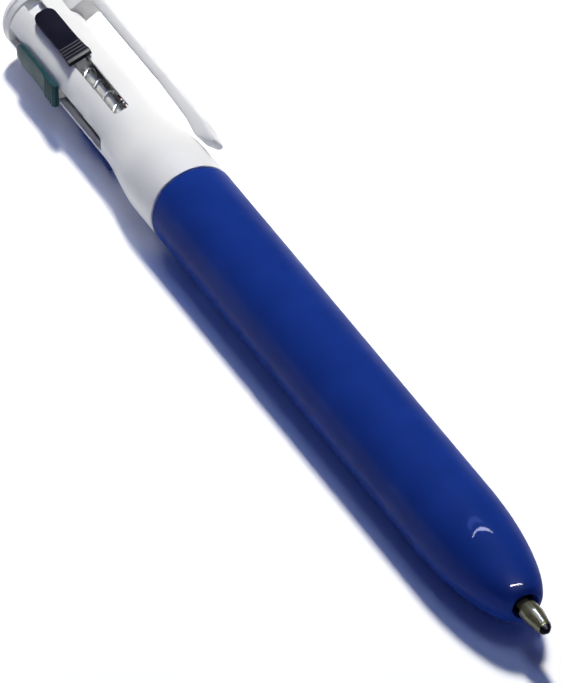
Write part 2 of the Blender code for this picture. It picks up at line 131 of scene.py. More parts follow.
# Clip. Stations near its end give the distance from the end, share of the width, inner dip and outer drop
CLIP_HALF_WIDTH = 0.0017
CLIP_REACH = 0.0084
CLIP_INNER = 0.0071
CLIP_ROOT_INNER = 0.00415
CLIP_ROOT = 0.004
CLIP_CORNER = 0.0009
CLIP_STEP = 0.0003
CLIP_FILLET = 0.0008
CLIP_EDGE = 0.00045
CLIP_END = -0.0048
CLIP_DIP = 0.0008
CLIP_END_STATIONS = (
    (0.0140, 1.00, 0, 0),
    (0.0060, 0.96, 0.00035, 0.00005),
    (0.0034, 0.92, CLIP_DIP, 0.0001),
    (0.0024, 0.90, CLIP_DIP, 0.0003),
    (0.0008, 0.84, 0.0003, 0.0005),
    (0, 0.70, -0.0001, 0.0007),
)

# Thumb tabs. Stations of the hump give humps behind the front, share of the flare and share of the rise
TRAVEL = 0.012
TAB_REAR = -0.0405
TAB_FRONT = -0.029
TAB_HALF_WIDTH = 0.00152
TAB_FLARE = 0.00172
TAB_UNDER = 0.00484
TAB_REACH = 0.0057
TAB_TAIL = 0.0054
TAB_TAIL_END = 0.25
TAB_HUMP = 0.0036
TAB_HUMP_STATIONS = ((1.6, 0, 0), (1, 0, 0.3), (0.7, 0.076, 1), (0.4, 0.38, 1), (0.12, 1, 1), (0, 1, 0))
TAB_EDGE = 0.0002
GRIP_GROOVES = 4
GRIP_PITCH = 0.0006
GRIP_RADIUS = 0.0002
GRIP_SIDES = 16
GRIP_HEIGHT = TAB_REACH + GRIP_RADIUS / 3
GRIP_BAR_LENGTH = 6 * TAB_FLARE

# Carriages
FIN_REAR = -0.039
FIN_HALF_WIDTH = 0.0008
FIN_INNER = 0.00136
FIN_IN_TAB = 0.0001
CARRIAGE_FRONT = -0.0293
CARRIAGE_EDGE = 0.00012
SHOE_HALF_WIDTH = 0.0017
SHOE_INNER = 0.0026
SHOE_OUTER = 0.0034
STEM_PLACE = 0.00235
STEM_RADIUS = 0.00065
STEM_ROOT = 0.006
STEM_FRONT = -0.0012
STEM_END = 0.0002
STEM_END_SHARES = (0.85, 0.6)
STEM_SIDES = 32
BARBS = 3
BARB_PITCH = 0.0012
BARB_HEIGHT = 0.00008
BARB_STEP = 0.0001
BARB_LAND = 0.0002
BARB_SLOPE_END = 0.0009

# Mechanism
SEAT_GAP = 0.0003
PLATE_FRONT = -0.0065
PLATE_REAR = -0.008
PLATE_RADIUS = 0.0038
PLATE_EDGE = 0.00015
STEM_HOLE = 0.00085
COUNTERSINK = 0.0002
DRILL_PAST = 0.001
CORE_RADIUS = 0.0009
CORE_PIN = 0.00064
CORE_COLLAR = 0.00105
CORE_COLLAR_LENGTH = 0.0012
CORE_COLLAR_SLOPE = 0.0004
CORE_EDGE = 0.0001
CORE_SIDES = 48
SPRING_FRONT = -0.0083
SPRING_WIRE = 0.00015
SPRING_RADIUS = 0.001
SPRING_COILS = 7
SPRING_END_COILS = 1.2
SPRING_END_PITCH = 2.1 * SPRING_WIRE
SPRING_POINTS = 20

# Refills, with places counted from the tube's rear end
REFILL_ROUND = 0.0001
TUBE_RADIUS = 0.00125
TUBE_BORE = 0.0009
TUBE_DRAWN_IN = 0.00004
TUBE_SIDES = 40
TUBE_BANDS = 24
INK_RADIUS = 0.00088
INK_REAR = 0.0053
MENISCUS_DEPTH = 0.0004
MENISCUS_MIDDLE = 0.00005
MENISCUS_BEND = 0.0003
MENISCUS_BEND_SHARE = 0.6
TIP_RADIUS = 0.00132
TIP_NECK_RADIUS = 0.00086
TIP_NECK_LENGTH = 0.0031
TIP_BASE = 0.0047
TIP_CONE = 0.0034
TIP_END_RADIUS = 0.00062
TIP_TAPER = 0.00037
TIP_STRAIGHT = 0.78
TIP_TAIL = 0.003
TIP_TAIL_RADIUS = 0.00075
TIP_SOCKET_DEPTH = 0.0004
TIP_SIDES = 64
CONE_STEPS = 28
BALL_RADIUS = 0.00057
BALL_PROUD = 0.00042
BALL_BARE = 0.00014
BALL_BACK = 0.4
BALL_BACK_SHARE = 0.5
BALL_STEPS = 14
BALL_SIDES = 48
FILM_LENGTH = 0.00036
FILM_THICKNESS = 0.00001
FILM_STEPS = 3
CONE_LENGTH = TIP_CONE - BALL_PROUD

# Colours, the deeper and the paler shade of each
SLIDER_SHADES = {
    "blue": ((0.006, 0.028, 0.20), (0.010, 0.036, 0.24)),
    "black": ((0.006, 0.005, 0.012), (0.011, 0.010, 0.020)),
    "green": ((0.011, 0.046, 0.053), (0.015, 0.061, 0.068)),
    "red": ((0.34, 0.010, 0.014), (0.44, 0.016, 0.020)),
}
INK_SHADES = {
    "blue": ((0.004, 0.014, 0.13), (0.007, 0.022, 0.19)),
    "black": ((0.003, 0.003, 0.004), (0.007, 0.007, 0.009)),
    "green": ((0.003, 0.060, 0.030), (0.006, 0.095, 0.048)),
    "red": ((0.24, 0.005, 0.007), (0.33, 0.009, 0.012)),
}
BARREL_SHADES = ((0.0075, 0.0300, 0.209), (0.0097, 0.0368, 0.248))
CASING_SHADES = ((0.80, 0.80, 0.79), (0.84, 0.84, 0.83))
NATURAL_SHADES = ((0.62, 0.62, 0.58), (0.72, 0.72, 0.68))
TUBE_SHADES = ((0.36, 0.37, 0.365), (0.44, 0.45, 0.445))
SPRING_SHADES = ((0.42, 0.42, 0.43), (0.66, 0.66, 0.68))
TIP_SHADES = ((0.10, 0.097, 0.045), (0.135, 0.13, 0.062))
BALL_SHADES = ((0.003, 0.003, 0.004), (0.007, 0.007, 0.009))
TABLE_SHADES = ((0.95, 0.95, 0.96), (0.97, 0.97, 0.98))
NOISE_LOW = 0.3
NOISE_HIGH = 0.7

# Table and light
TABLE_SIZE = 6
TABLE_WHITER = 0.13
# Painted light in the table's shadows: the tint of a blue glow, and its strength at the rim and at the nose
PAINTED_GLOW_TINT = (0.15, 0.30, 1.0)
PAINTED_GLOW_AT_RIM = 0.045
PAINTED_GLOW_AT_NOSE = 0.008
KEY_TINT = (1, 0.975, 0.88)
SKY_TINT = (0.38, 0.535, 1)
GLINT_TINT = (0.62, 0.68, 1)
HAZE_TINT = (0.17, 0.32, 1)
WORLD_TINT = (0.13, 0.21, 1.0)
WORLD_STRENGTH = 0.085
BEHIND_SLANT = math.radians(4.2)
FRONT_SLANT = math.radians(-3.7)

# Camera, from the photo's frame, which is 683 pixels high
FRAME_HEIGHT = 683
SENSOR = 36.0
CAMERA_AZIMUTH = math.radians(62.19)
CAMERA_ELEVATION = math.radians(37.99)
CAMERA_ROLL = math.radians(1.0)
CAMERA_DISTANCE = 1.1
CAMERA_CLIP = (0.05, 20)
PIXELS_PER_METRE = 8016
AIM_RIGHT = -0.004948
AIM_UP = 0.002299


# Tools of the bench


def take_up(name):
    """Name the object that was just added, with its place and turn in its mesh, and open it for editing."""
    piece = bpy.context.object
    piece.name = name
    piece.data.name = name
    bpy.ops.object.transform_apply(location=True, rotation=True, scale=True)
    bpy.ops.object.mode_set(mode="EDIT")
    bpy.ops.mesh.select_all(action="SELECT")
    return piece


def put_down():
    """Merge doubles, turn the faces outwards and leave edit mode."""
    bpy.ops.mesh.select_all(action="SELECT")
    bpy.ops.mesh.remove_doubles(threshold=MERGE_DISTANCE)
    bpy.ops.mesh.normals_make_consistent(inside=False)
    bpy.ops.object.mode_set(mode="OBJECT")


def close_up():
    """Fill the holes of the piece in edit mode, and put it down."""
    bpy.ops.mesh.select_all(action="SELECT")
    bpy.ops.mesh.fill_holes(sides=0)
    put_down()


def turn(name, profile, sides=LATHE_SIDES, closed=True):
    """Turn a profile of (place, radius) points round X, ring after ring from a circle.

    A closed profile comes back to its first point. An open one gets flat ends.
    """
    bpy.ops.object.select_all(action="DESELECT")
    place, radius = profile[0]
    bpy.ops.mesh.primitive_circle_add(
        vertices=sides, radius=radius, location=(place, 0, 0), rotation=(0, math.pi / 2, 0)
    )
    piece = take_up(name)
    for next_place, next_radius in profile[1:] + ([profile[0]] if closed else []):
        bpy.ops.mesh.extrude_edges_move(TRANSFORM_OT_translate={"value": (next_place - place, 0, 0)})
        growth = next_radius / radius
        bpy.ops.transform.resize(value=(1, growth, growth), center_override=(next_place, 0, 0))
        place, radius = next_place, next_radius
    if closed:
        put_down()
    else:
        close_up()
    return piece


def draw_out(name, stations):
    """Draw a plate out along X through stations of (place, half width, low, high), by extruding its end."""
    bpy.ops.object.select_all(action="DESELECT")
    place, half, low, high = stations[0]
    bpy.ops.mesh.primitive_plane_add(
        size=1, location=(place, 0, (low + high) / 2), rotation=(0, math.pi / 2, 0)
    )
    bpy.context.object.scale = (high - low, 2 * half, 1)
    piece = take_up(name)
    for next_place, next_half, next_low, next_high in stations[1:]:
        lift = (next_low + next_high - low - high) / 2
        bpy.ops.mesh.extrude_region_move(
            TRANSFORM_OT_translate={"value": (next_place - place, 0, lift)}
        )
        bpy.ops.transform.resize(
            value=(1, next_half / half, (next_high - next_low) / (high - low)),
            center_override=(next_place, 0, (next_low + next_high) / 2),
        )
        place, half, low, high = next_place, next_half, next_low, next_high
    put_down()
    return piece


def apply_modifier(piece, kind, **settings):
    """Add a modifier with these settings and apply it."""
    bpy.ops.object.select_all(action="DESELECT")
    bpy.context.view_layer.objects.active = piece
    piece.select_set(True)
    modifier = piece.modifiers.new(kind.lower(), kind)
    for name, value in settings.items():
        setattr(modifier, name, value)
    bpy.ops.object.modifier_apply(modifier=modifier.name)


def combine(piece, other, operation):
    """Join another solid to a piece, or cut it out of the piece, remove the other and close the seam."""
    apply_modifier(piece, "BOOLEAN", object=other, operation=operation, solver="EXACT")
    bpy.data.objects.remove(other, do_unlink=True)
    bpy.ops.object.mode_set(mode="EDIT")
    close_up()


def break_edges(piece, width, segments=3):
    """Round the sharp edges of a piece, and merge what meets there."""
    apply_modifier(
        piece,
        "BEVEL",
        width=width,
        segments=segments,
        limit_method="ANGLE",
        angle_limit=SHARP_ANGLE,
        use_clamp_overlap=True,
    )
    bpy.ops.object.mode_set(mode="EDIT")
    put_down()


def lay(piece, matrix):
    """Lay a piece into the pen, and leave its object at the origin."""
    bpy.ops.object.select_all(action="DESELECT")
    bpy.context.view_layer.objects.active = piece
    piece.select_set(True)
    piece.matrix_world = matrix
    bpy.ops.object.transform_apply(location=True, rotation=True, scale=True)
    bpy.ops.object.shade_smooth_by_angle(angle=SMOOTH_ANGLE)


def pen_matrix(turn_angle=0.0):
    """From the bench to the pen, where the bench's up direction gets this angle from straight up."""
    return Matrix.Translation((RIM, 0, AXIS_HEIGHT)) @ Matrix.Rotation(-turn_angle, 4, "X")


def angle_of(node):
    """The angle of a node round the pen, from straight up towards +Y."""
    points = [v.co for v in frame["nodes"][node].data.vertices]
    middle = sum(points, Vector()) / len(points)
    return math.atan2(middle.y, middle.z - AXIS_HEIGHT)


def tube_ends(colour):
    """The middles of a refill tube's rear and front ends."""
    points = [v.co for v in frame["nodes"]["refill_tube_" + colour].data.vertices]
    middle = sum(p.x for p in points) / len(points)
    rear = [p for p in points if p.x < middle]
    front = [p for p in points if p.x >= middle]
    return sum(rear, Vector()) / len(rear), sum(front, Vector()) / len(front)


def refill_matrix(colour):
    """From the bench, with zero at the tube's rear end, to the refill's place in the pen."""
    rear, front = tube_ends(colour)
    lean = (front - rear).to_track_quat("X", "Z").to_matrix().to_4x4()
    return Matrix.Translation(rear) @ lean


def advance(colour):
    """How far a slider is pushed forward."""
    return TRAVEL if colour == PRESSED else 0.0


def dress(piece, finish, slot, body, *nodes):
    """Give a piece its finish, the body that it rides on and the nodes that it stands for."""
    piece.data.materials.clear()
    piece.data.materials.append(finish)
    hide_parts(*nodes)
    if body:
        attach(piece, body)


# Finishes


def new_finish(name):
    """A material with its shader and the object's own coordinates."""
    material = bpy.data.materials.new(name)
    material.use_nodes = True
    tree = material.node_tree
    shader = tree.nodes["Principled BSDF"]
    place = tree.nodes.new("ShaderNodeTexCoord").outputs["Object"]
    return material, tree, shader, place


def noise(tree, place, scale, detail, stretch=None):
    """A noise with so many waves to the metre, drawn out along X where stretch is given."""
    texture = tree.nodes.new("ShaderNodeTexNoise")
    texture.inputs["Scale"].default_value = scale
    texture.inputs["Detail"].default_value = detail
    if stretch:
        mapping = tree.nodes.new("ShaderNodeMapping")
        mapping.inputs["Scale"].default_value = (1 / stretch, 1, 1)
        tree.links.new(place, mapping.inputs["Vector"])
        place = mapping.outputs["Vector"]
    tree.links.new(place, texture.inputs["Vector"])
    return texture.outputs["Fac"]


def graded(tree, source, low, high, socket):
    """Spread a noise between two values or two colours into a socket."""
    ramp = tree.nodes.new("ShaderNodeValToRGB")
    ends = ramp.color_ramp.elements
    ends[0].position = NOISE_LOW
    ends[1].position = NOISE_HIGH
    for end, value in zip(ends, (low, high)):
        end.color = (*value, 1) if isinstance(value, tuple) else (value, value, value, 1)
    tree.links.new(source, ramp.inputs["Fac"])
    tree.links.new(ramp.outputs["Color"], socket)


def raised(tree, shader, source, distance, strength):
    """Let a noise stand up from the surface."""
    bump = tree.nodes.new("ShaderNodeBump")
    bump.inputs["Distance"].default_value = distance
    bump.inputs["Strength"].default_value = strength
    tree.links.new(source, bump.inputs["Height"])
    tree.links.new(bump.outputs["Normal"], shader.inputs["Normal"])


def moulded_plastic(name, shades, smooth, rough, shine=0.3, peel=0.25):
    """Moulded plastic: slow clouds in its colour, a patchy rub in its gloss and a faint orange peel."""
    material, tree, shader, place = new_finish(name)
    graded(tree, noise(tree, place, 160, detail=4), *shades, shader.inputs["Base Color"])
    graded(tree, noise(tree, place, 450, detail=5), smooth, rough, shader.inputs["Roughness"])
    raised(tree, shader, noise(tree, place, 900, detail=2), distance=0.00001, strength=peel)
    shader.inputs["IOR"].default_value = 1.47
    shader.inputs["Specular IOR Level"].default_value = shine
    return material


def polished(material, weight, bend, roughness):
    """Give a finish a clear skin that mirrors the lamps sharply."""
    shader = material.node_tree.nodes["Principled BSDF"]
    shader.inputs["Coat Weight"].default_value = weight
    shader.inputs["Coat IOR"].default_value = bend
    shader.inputs["Coat Roughness"].default_value = roughness


def turned_metal(name, shades, smooth, rough):
    """Metal with the fine rings that a lathe leaves across its length."""
    material, tree, shader, place = new_finish(name)
    rings = noise(tree, place, 9000, detail=3, stretch=0.05)
    graded(tree, noise(tree, place, 700, detail=4), *shades, shader.inputs["Base Color"])
    graded(tree, rings, smooth, rough, shader.inputs["Roughness"])
    raised(tree, shader, rings, distance=0.000004, strength=0.3)
    shader.inputs["Metallic"].default_value = 1.0
    return material


def drawn_metal(name, shades, smooth, rough, share):
    """Dull metal with the fine lines that drawing leaves along its length."""
    material, tree, shader, place = new_finish(name)
    lines = noise(tree, place, 5000, detail=3, stretch=40)
    graded(tree, noise(tree, place, 700, detail=4), *shades, shader.inputs["Base Color"])
    graded(tree, lines, smooth, rough, shader.inputs["Roughness"])
    raised(tree, shader, lines, distance=0.00002, strength=0.5)
    shader.inputs["Metallic"].default_value = share
    return material


def spring_wire(name, shades, smooth, rough):
    """Steel wire with faint streaks."""
    material, tree, shader, place = new_finish(name)
    graded(tree, noise(tree, place, 3000, detail=4), *shades, shader.inputs["Base Color"])
    graded(tree, noise(tree, place, 6000, detail=2), smooth, rough, shader.inputs["Roughness"])
    shader.inputs["Metallic"].default_value = 1.0
    return material


def clear_plastic(name, shades, smooth, rough):
    """Milky extruded tube that lets the ink show through."""
    material, tree, shader, place = new_finish(name)
    streaks = noise(tree, place, 1800, detail=4, stretch=30)
    graded(tree, noise(tree, place, 300, detail=3), *shades, shader.inputs["Base Color"])
    graded(tree, streaks, smooth, rough, shader.inputs["Roughness"])
    shader.inputs["IOR"].default_value = 2.0
    shader.inputs["Alpha"].default_value = 0.07
    return material


def wet_ink(name, shades, smooth, rough):
    """Glossy ink with slow streaks along the tube."""
    material, tree, shader, place = new_finish(name)
    graded(tree, noise(tree, place, 700, detail=2, stretch=8), *shades, shader.inputs["Base Color"])
    graded(tree, noise(tree, place, 1500, detail=2, stretch=8), smooth, rough, shader.inputs["Roughness"])
    return material


def painted_blue_glow(tree, place):
    """Painted light: a faint blue glow in the table that shows in the shadow and fades from the rim to the
    nose, so the shadow is painted darker towards the nose.
    """
    glow = tree.nodes.new("ShaderNodeEmission")
    glow.inputs["Color"].default_value = (*PAINTED_GLOW_TINT, 1)
    along = tree.nodes.new("ShaderNodeSeparateXYZ")
    fade = tree.nodes.new("ShaderNodeMapRange")
    fade.inputs["From Min"].default_value = RIM
    fade.inputs["From Max"].default_value = RIM + LOWER_LENGTH
    fade.inputs["To Min"].default_value = PAINTED_GLOW_AT_RIM
    fade.inputs["To Max"].default_value = PAINTED_GLOW_AT_NOSE
    tree.links.new(place, along.inputs["Vector"])
    tree.links.new(along.outputs["X"], fade.inputs["Value"])
    tree.links.new(fade.outputs["Result"], glow.inputs["Strength"])
    return glow.outputs["Emission"]


def seen_rays(tree):
    """One for what the camera sees, straight or through gloss or glass, and zero for the rest."""
    path = tree.nodes.new("ShaderNodeLightPath")
    seen = path.outputs["Is Camera Ray"]
    for ray in ("Is Glossy Ray", "Is Transmission Ray"):
        either = tree.nodes.new("ShaderNodeMath")
        either.operation = "MAXIMUM"
        tree.links.new(seen, either.inputs[0])
        tree.links.new(path.outputs[ray], either.inputs[1])
        seen = either.outputs["Value"]
    return seen


def table_top():
    """A white table that looks whiter than it lights the pen, with a painted blue glow in its shadows."""
    material, tree, shader, place = new_finish("pale_table")
    graded(tree, noise(tree, place, 40, detail=4), *TABLE_SHADES, shader.inputs["Base Color"])
    shader.inputs["Roughness"].default_value = 0.9
    shader.inputs["Specular IOR Level"].default_value = 0.1
    whiter = tree.nodes.new("ShaderNodeBsdfDiffuse")
    whiter.inputs["Color"].default_value = (TABLE_WHITER, TABLE_WHITER, TABLE_WHITER, 1)
    look = shader.outputs["BSDF"]
    # What is seen gets the whiter coat and a blue glow that paints light into the shadows
    for extra in (whiter.outputs["BSDF"], painted_blue_glow(tree, place)):
        both = tree.nodes.new("ShaderNodeAddShader")
        tree.links.new(look, both.inputs[0])
        tree.links.new(extra, both.inputs[1])
        look = both.outputs["Shader"]
    choice = tree.nodes.new("ShaderNodeMixShader")
    tree.links.new(seen_rays(tree), choice.inputs["Fac"])
    tree.links.new(shader.outputs["BSDF"], choice.inputs[1])
    tree.links.new(look, choice.inputs[2])
    tree.links.new(choice.outputs["Shader"], tree.nodes["Material Output"].inputs["Surface"])
    return material


barrel_blue = moulded_plastic("barrel_blue", BARREL_SHADES, smooth=0.34, rough=0.44, shine=0.015, peel=0.05)
polished(barrel_blue, weight=0.02, bend=2.5, roughness=0.015)
casing_white = moulded_plastic("casing_white", CASING_SHADES, smooth=0.28, rough=0.36)
mechanism_natural = moulded_plastic("mechanism_natural", NATURAL_SHADES, smooth=0.35, rough=0.5)
slider_finish = {}
ink_finish = {}
for colour in COLOURS:
    slider_finish[colour] = moulded_plastic(
        "slider_" + colour, SLIDER_SHADES[colour], smooth=0.34, rough=0.46, shine=0.12
    )
    ink_finish[colour] = wet_ink("ink_" + colour, INK_SHADES[colour], smooth=0.1, rough=0.18)
spring_steel = spring_wire("spring_steel", SPRING_SHADES, smooth=0.18, rough=0.34)
refill_plastic = clear_plastic("refill_plastic", TUBE_SHADES, smooth=0.1, rough=0.22)
tip_metal = drawn_metal("tip_metal", TIP_SHADES, smooth=0.24, rough=0.38, share=0.5)
polished(tip_metal, weight=0.4, bend=1.5, roughness=0.03)
ball_carbide = turned_metal("ball_carbide", BALL_SHADES, smooth=0.3, rough=0.42)


# Casing


def corner(centre, radius, start, end):
    """Points of a round corner about a (place, radius) centre, between two angles from +X."""
    points = []
    for step in range(ROUND_STEPS + 1):
        a = math.radians(start + (end - start) * step / ROUND_STEPS)
        points.append((centre[0] + radius * math.cos(a), centre[1] + radius * math.sin(a)))
    return points


def nose_points(front, radius):
    """Points of the round nose from its bore back to the barrel, a quarter of a superellipse."""
    points = []
    for step in range(1, NOSE_STEPS + 1):
        a = math.pi / 2 * step / NOSE_STEPS
        along = NOSE_LENGTH * (1 - max(math.cos(a), 0) ** (2 / NOSE_POWER))
        out = (radius - NOSE_BORE) * math.sin(a) ** (2 / NOSE_POWER)
        points.append((front - along, NOSE_BORE + out))
    return points


def make_lower_barrel():
    """The blue barrel with its nose, and a thread inside its mouth."""
    front = LOWER_LENGTH
    lip = corner((front - NOSE_LIP, NOSE_BORE + NOSE_LIP), NOSE_LIP, -90, 0)
    outer = [p for p in nose_points(front, BARREL_RADIUS) if p[1] > NOSE_BORE + NOSE_LIP]
    rim = corner((RIM_ROUND, BARREL_RADIUS - RIM_ROUND), RIM_ROUND, 90, 180)
    mouth = corner((RIM_ROUND, LOWER_BORE + RIM_ROUND), RIM_ROUND, 180, 270)
    flank = THREAD_PITCH / 4
    thread = []
    for step in range(THREAD_TURNS):
        start = THREAD_START + step * THREAD_PITCH
        thread += [
            (start, LOWER_BORE),
            (start + flank, LOWER_BORE - THREAD_DEPTH),
            (start + 2 * flank, LOWER_BORE - THREAD_DEPTH),
            (start + 3 * flank, LOWER_BORE),
        ]
    inner = list(reversed(nose_points(front - NOSE_LAND, LOWER_BORE)))
    land = [(front - NOSE_LAND, NOSE_BORE)]
    shell = turn("lower_barrel_shell", lip + outer + rim + mouth + thread + inner + land)
    lay(shell, pen_matrix())
    dress(shell, barrel_blue, "barrel_blue", "lower_barrel", "lower_barrel")


def spigot_thread():
    """The ridge of the spigot's screw thread, one helix."""
    bpy.ops.object.select_all(action="DESELECT")
    bpy.ops.mesh.primitive_circle_add(
        vertices=4,
        radius=THREAD_RIDGE,
        location=(THREAD_START, 0, SPIGOT_RADIUS),
        rotation=(math.pi / 2, 0, 0),
    )
    ridge = take_up("spigot_thread")
    bpy.ops.object.mode_set(mode="OBJECT")
    apply_modifier(
        ridge,
        "SCREW",
        axis="X",
        steps=THREAD_STEPS,
        render_steps=THREAD_STEPS,
        iterations=THREAD_TURNS,
        screw_offset=THREAD_PITCH,
    )
    bpy.ops.object.mode_set(mode="EDIT")
    close_up()
    return ridge


def slot_cutter(angle):
    """A cutter for one slider's slot, open at the rear and with round corners at its front."""
    half = SLOT_WIDTH / 2
    stations = [(CUTTER_REAR, half, CUTTER_LOW, CUTTER_HIGH)]
    for step in range(ROUND_STEPS + 1):
        a = math.pi / 2 * step / ROUND_STEPS
        place = SLOT_FRONT - SLOT_CORNER + SLOT_CORNER * math.sin(a)
        stations.append((place, half - SLOT_CORNER + SLOT_CORNER * math.cos(a), CUTTER_LOW, CUTTER_HIGH))
    cutter = draw_out("slot_cutter", stations)
    cutter.data.transform(Matrix.Rotation(-angle, 4, "X"))
    return cutter


def notch_cutter(angle):
    """A cutter for the notch that the clip's root sits in."""
    box = (NOTCH_WIDTH / 2, CUTTER_LOW, CUTTER_HIGH)
    cutter = draw_out("notch_cutter", [(CUTTER_REAR, *box), (NOTCH_FRONT, *box)])
    cutter.data.transform(Matrix.Rotation(-angle, 4, "X"))
    return cutter


def make_upper_barrel():
    """The white barrel: threaded spigot, shoulder and taper, with the sliders' slots and a notch."""
    drop = BARREL_RADIUS - REAR_RADIUS
    front = corner((SPIGOT_LENGTH - RIM_ROUND, SPIGOT_RADIUS - RIM_ROUND), RIM_ROUND, 0, 90)
    shoulder = corner((SHOULDER - RIM_ROUND, BARREL_RADIUS - RIM_ROUND), RIM_ROUND, 0, 90)
    taper = []
    for step in range(TAPER_STEPS + 1):
        share = step / TAPER_STEPS
        ease = (1 - math.cos(math.pi * share)) / 2
        taper.append((-WAIST_LENGTH - TAPER_LENGTH * share, BARREL_RADIUS - drop * ease))
    rear = corner((-UPPER_LENGTH + RIM_ROUND / 2, REAR_RADIUS - RIM_ROUND / 2), RIM_ROUND / 2, 90, 180)
    bore = [
        (-UPPER_LENGTH, REAR_BORE),
        (LEDGE, REAR_BORE),
        (LEDGE, SPIGOT_BORE),
        (SPIGOT_LENGTH, SPIGOT_BORE),
    ]
    shell = turn("upper_barrel_shell", front + [(SHOULDER, SPIGOT_RADIUS)] + shoulder + taper + rear + bore)
    for colour in COLOURS:
        combine(shell, slot_cutter(angle_of("slider_" + colour)), "DIFFERENCE")
    combine(shell, notch_cutter(angle_of("pocket_clip")), "DIFFERENCE")
    combine(shell, spigot_thread(), "UNION")
    lay(shell, pen_matrix())
    dress(shell, casing_white, "casing_white", "casing", "upper_barrel")


def make_end_plug():
    """The plug in the rear end: socket for the post, seat, grooved flange and dome."""
    flange = PLUG_SEAT - PLUG_FLANGE
    floor = PLUG_NOSE - PLUG_SOCKET
    socket = CORE_RADIUS + SEAT_GAP
    profile = [(floor, PLUG_SOCKET_MIDDLE), (floor, socket), (PLUG_NOSE, socket)]
    profile += corner((PLUG_NOSE - RIM_ROUND, PLUG_RADIUS - RIM_ROUND), RIM_ROUND, 0, 90)
    profile += [(PLUG_SEAT, PLUG_RADIUS)]
    profile += corner((PLUG_SEAT - RIM_ROUND / 2, REAR_RADIUS - RIM_ROUND / 2), RIM_ROUND / 2, 0, 90)
    profile += [
        (flange + PLUG_GROOVE, REAR_RADIUS),
        (flange, REAR_RADIUS - PLUG_GROOVE),
        (flange - PLUG_GROOVE, REAR_RADIUS),
    ]
    dome = PLUG_DOME - PLUG_GROOVE
    for step in range(1, PLUG_DOME_STEPS):
        a = math.pi / 2 * step / PLUG_DOME_STEPS
        profile.append((flange - PLUG_GROOVE - dome * math.sin(a), REAR_RADIUS * math.cos(a)))
    plug = turn("rear_plug", profile, closed=False)
    lay(plug, pen_matrix())
    dress(plug, casing_white, "casing_white", "casing", "end_plug")


def make_pocket_clip():
    """The clip: root block, straight arm, and an end that dips to the barrel and kicks up."""
    half = CLIP_HALF_WIDTH
    rear = -UPPER_LENGTH
    arm = rear + CLIP_ROOT
    stations = [
        (rear, half, CLIP_ROOT_INNER, CLIP_REACH - CLIP_CORNER),
        (rear + CLIP_CORNER, half, CLIP_ROOT_INNER, CLIP_REACH),
        (arm - CLIP_STEP, half, CLIP_ROOT_INNER, CLIP_REACH),
        (arm, half, CLIP_INNER - CLIP_FILLET, CLIP_REACH),
        (arm + CLIP_CORNER, half, CLIP_INNER, CLIP_REACH),
    ]
    for distance, width, dip, drop in CLIP_END_STATIONS:
        stations.append((CLIP_END - distance, half * width, CLIP_INNER - dip, CLIP_REACH - drop))
    clip = draw_out("clip_arm", stations)
    break_edges(clip, CLIP_EDGE)
    lay(clip, pen_matrix(angle_of("pocket_clip")))
    dress(clip, casing_white, "casing_white", "pocket_clip", "pocket_clip")


# Sliders and mechanism


def grip_cutter(front):
    """Round grooves across the hump of a thumb tab, one bar for each."""
    bpy.ops.object.select_all(action="DESELECT")
    place = front - TAB_HUMP / 2 - (GRIP_GROOVES - 1) / 2 * GRIP_PITCH
    bar = {
        "vertices": GRIP_SIDES,
        "radius": GRIP_RADIUS,
        "depth": GRIP_BAR_LENGTH,
        "rotation": (math.pi / 2, 0, 0),
    }
    bpy.ops.mesh.primitive_cylinder_add(location=(place, 0, GRIP_HEIGHT), **bar)
    cutter = take_up("grip_cutter")
    for groove in range(1, GRIP_GROOVES):
        bpy.ops.mesh.primitive_cylinder_add(location=(place + groove * GRIP_PITCH, 0, GRIP_HEIGHT), **bar)
    put_down()
    return cutter


def make_thumb_tab(colour):
    """The tab that the thumb pushes: round at its tail, with a flared and grooved hump at its front."""
    rear, front = TAB_REAR + advance(colour), TAB_FRONT + advance(colour)
    stations = []
    for step in range(ROUND_STEPS + 1):
        a = math.pi / 2 * step / ROUND_STEPS
        half = TAB_HALF_WIDTH * (TAB_TAIL_END + (1 - TAB_TAIL_END) * math.sin(a))
        stations.append((rear + TAB_HALF_WIDTH * (1 - math.cos(a)), half, TAB_UNDER, TAB_TAIL))
    for behind, flare, rise in TAB_HUMP_STATIONS:
        half = TAB_HALF_WIDTH + flare * (TAB_FLARE - TAB_HALF_WIDTH)
        top = TAB_TAIL + rise * (TAB_REACH - TAB_TAIL)
        stations.append((front - behind * TAB_HUMP, half, TAB_UNDER, top))
    tab = draw_out("thumb_tab_" + colour, stations)
    break_edges(tab, TAB_EDGE)
    combine(tab, grip_cutter(front), "DIFFERENCE")
    lay(tab, pen_matrix(angle_of("slider_" + colour)))
    dress(tab, slider_finish[colour], "slider_" + colour, "slider_" + colour, "slider_" + colour)


def barbed_stem(front, end):
    """The stem that a refill is pushed on, with saw teeth that hold it."""
    profile = [(front - STEM_ROOT, STEM_RADIUS), (end - BARBS * BARB_PITCH - BARB_STEP, STEM_RADIUS)]
    for barb in range(BARBS):
        tooth = end - (BARBS - barb) * BARB_PITCH
        profile += [(tooth, STEM_RADIUS + BARB_HEIGHT), (tooth + BARB_LAND, STEM_RADIUS + BARB_HEIGHT)]
        profile += [(tooth + BARB_SLOPE_END, STEM_RADIUS), (tooth + BARB_PITCH - BARB_STEP, STEM_RADIUS)]
    wide, narrow = STEM_END_SHARES
    profile += [(end - STEM_END, STEM_RADIUS * wide), (end, STEM_RADIUS * narrow)]
    stem = turn("stem", profile, sides=STEM_SIDES, closed=False)
    stem.data.transform(Matrix.Translation((0, 0, STEM_PLACE)))
    return stem


